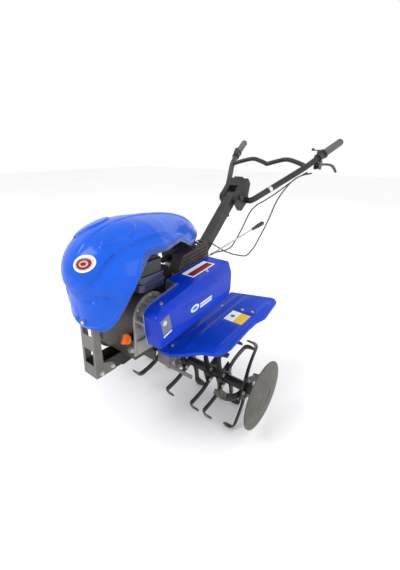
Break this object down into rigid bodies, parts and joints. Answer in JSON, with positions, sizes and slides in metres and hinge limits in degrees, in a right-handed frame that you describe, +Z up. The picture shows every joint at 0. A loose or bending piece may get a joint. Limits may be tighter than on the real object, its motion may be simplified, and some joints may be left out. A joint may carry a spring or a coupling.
{
  "type": "walk-behind power tiller",
  "caption": "Walk-behind petrol tiller with a domed hood, guarded belt drive, gearbox, transverse tined rotor with plant discs and a tilting T-shaped handlebar.",
  "frame": {"origin": "on the ground under the centre of the machine's bounding box", "axes": "+X to the machine's left, +Y to its rear and the grips, +Z up; the rotor axle runs along X"},
  "size_m": [0.872, 1.5346, 1.0867],
  "materials": {
    "black_paint": "semi-gloss black paint",
    "hood_blue": "glossy blue moulding",
    "guard_blue": "glossy blue paint",
    "grey_paint": "satin grey paint",
    "cast_alloy": "as cast",
    "olive_alloy": "dull cast, oily",
    "zinc": "zinc plated",
    "rubber": "matt",
    "dark_plastic": "matt",
    "navy_paint": "satin dark blue",
    "orange_plastic": "satin",
    "red_plastic": "satin",
    "muffler_steel": "heat-darkened, matt"
  },
  "bodies": {
    "root": {"engine_frame": "black_paint", "front_bumper": "grey_paint", "hood": "hood_blue", "crankcase": "olive_alloy", "crankcase_cover": "cast_alloy", "cylinder_block": "olive_alloy", "cylinder_head": "olive_alloy", "valve_cover": "black_paint", "spark_plug": "dark_plastic", "blower_housing": "black_paint", "recoil_cover": "black_paint", "fuel_tank": "navy_paint", "carburettor": "cast_alloy", "air_cleaner": "dark_plastic", "muffler": "muffler_steel", "muffler_guard": "muffler_steel", "drive_belts": "rubber", "gearbox_left": "cast_alloy", "gearbox_right": "cast_alloy", "belt_guard": "guard_blue", "guard_backplate": "zinc", "fender_left": "guard_blue", "fender_right": "guard_blue", "fender_brackets": "grey_paint", "hitch_bracket": "black_paint", "handle_column": "black_paint", "steel_bolts": "zinc", "trim_bolts": "zinc", "clutch_cable_lower": "rubber", "throttle_cable_lower": "rubber"},
    "crank": {"crankshaft": "zinc", "engine_pulley": "cast_alloy", "flywheel": "cast_alloy"},
    "input": {"input_shaft": "zinc", "input_pulley": "cast_alloy"},
    "idler_arm": {"idler_arm": "grey_paint"},
    "idler_roller": {"idler_roller": "zinc"},
    "rotor": {"rotor_shaft": "black_paint", "tine_flanges": "black_paint", "tines": "black_paint", "plant_discs": "grey_paint", "rotor_bolts": "zinc"},
    "fuel_cap": {"fuel_cap": "dark_plastic"},
    "oil_cap": {"oil_cap": "orange_plastic"},
    "recoil_grip": {"recoil_grip": "dark_plastic"},
    "choke_lever": {"choke_lever": "dark_plastic"},
    "shift": {"shift_rod": "zinc", "shift_knob": "dark_plastic"},
    "handlebar": {"handle_head": "black_paint", "handlebars": "black_paint", "cross_bar": "black_paint", "grips": "rubber", "lever_clamps": "dark_plastic", "clutch_cable_upper": "rubber", "throttle_cable_upper": "rubber"},
    "clutch_lever": {"clutch_lever": "dark_plastic"},
    "throttle_lever": {"throttle_lever": "dark_plastic"},
    "stop_button": {"stop_button": "red_plastic"},
    "lock_lever": {"lock_lever": "dark_plastic"}
  },
  "joints": [
    {"name": "rotor_spin", "type": "hinge", "parent": "root", "child": "rotor", "pos_m": [0, -0.2547, 0.17204], "axis": [1, 0, 0], "continuous": true},
    {"name": "input_spin", "type": "hinge", "parent": "root", "child": "input", "pos_m": [0, -0.2727, 0.566], "axis": [1, 0, 0], "continuous": true},
    {"name": "crank_spin", "type": "hinge", "parent": "root", "child": "crank", "pos_m": [0, -0.5297, 0.52], "axis": [1, 0, 0], "continuous": true},
    {"name": "handlebar_tilt", "type": "hinge", "parent": "root", "child": "handlebar", "pos_m": [0, 0.1303, 0.832], "axis": [1, 0, 0], "range_deg": [-10, 20]},
    {"name": "clutch_pull", "type": "hinge", "parent": "handlebar", "child": "clutch_lever", "pos_m": [0.22774, 0.55576, 0.9549], "axis": [1, 0, 0], "range_deg": [0, 24], "stiffness_Nm_per_rad": 8, "springref_deg": -8.59},
    {"name": "idler_swing", "type": "hinge", "parent": "root", "child": "idler_arm", "pos_m": [0.142, -0.3647, 0.515], "axis": [-1, 0, 0], "range_deg": [0, 9]},
    {"name": "idler_spin", "type": "hinge", "parent": "idler_arm", "child": "idler_roller", "pos_m": [0.172, -0.4047, 0.558], "axis": [1, 0, 0], "continuous": true},
    {"name": "lock_swing", "type": "hinge", "parent": "handlebar", "child": "lock_lever", "pos_m": [0, 0.1303, 0.832], "axis": [-1, 0, 0], "range_deg": [0, 60]},
    {"name": "throttle_turn", "type": "hinge", "parent": "handlebar", "child": "throttle_lever", "pos_m": [0.22774, 0.55076, 1.0272], "axis": [0, 0, 1], "range_deg": [0, 60]},
    {"name": "stop_press", "type": "slide", "parent": "handlebar", "child": "stop_button", "axis": [0, 0, -1], "range_m": [0, 0.003], "stiffness_N_per_m": 1500, "springref_m": -0.001},
    {"name": "choke_turn", "type": "hinge", "parent": "root", "child": "choke_lever", "pos_m": [-0.1123, -0.3927, 0.597], "axis": [-1, 0, 0], "range_deg": [0, 60]},
    {"name": "fuel_cap_turn", "type": "hinge", "parent": "root", "child": "fuel_cap", "pos_m": [-0.05, -0.5297, 0.6803], "axis": [0, 0, 1], "range_deg": [0, 90]},
    {"name": "oil_cap_turn", "type": "hinge", "parent": "root", "child": "oil_cap", "pos_m": [0.078, -0.5737, 0.429], "axis": [0, -0.9063, 0.4226], "range_deg": [0, 360]},
    {"name": "recoil_pull", "type": "slide", "parent": "root", "child": "recoil_grip", "axis": [0, -1, 0], "range_m": [0, 0.5], "stiffness_N_per_m": 60, "springref_m": -0.2},
    {"name": "shift_slide", "type": "slide", "parent": "root", "child": "shift", "axis": [0.0712, 0.9817, 0.1767], "range_m": [-0.02, 0.02]}
  ],
  "couplings": [
    {"joint": "input_spin", "follows": "rotor_spin", "ratio": 20},
    {"joint": "idler_swing", "follows": "clutch_pull", "ratio": 0.375}
  ]
}
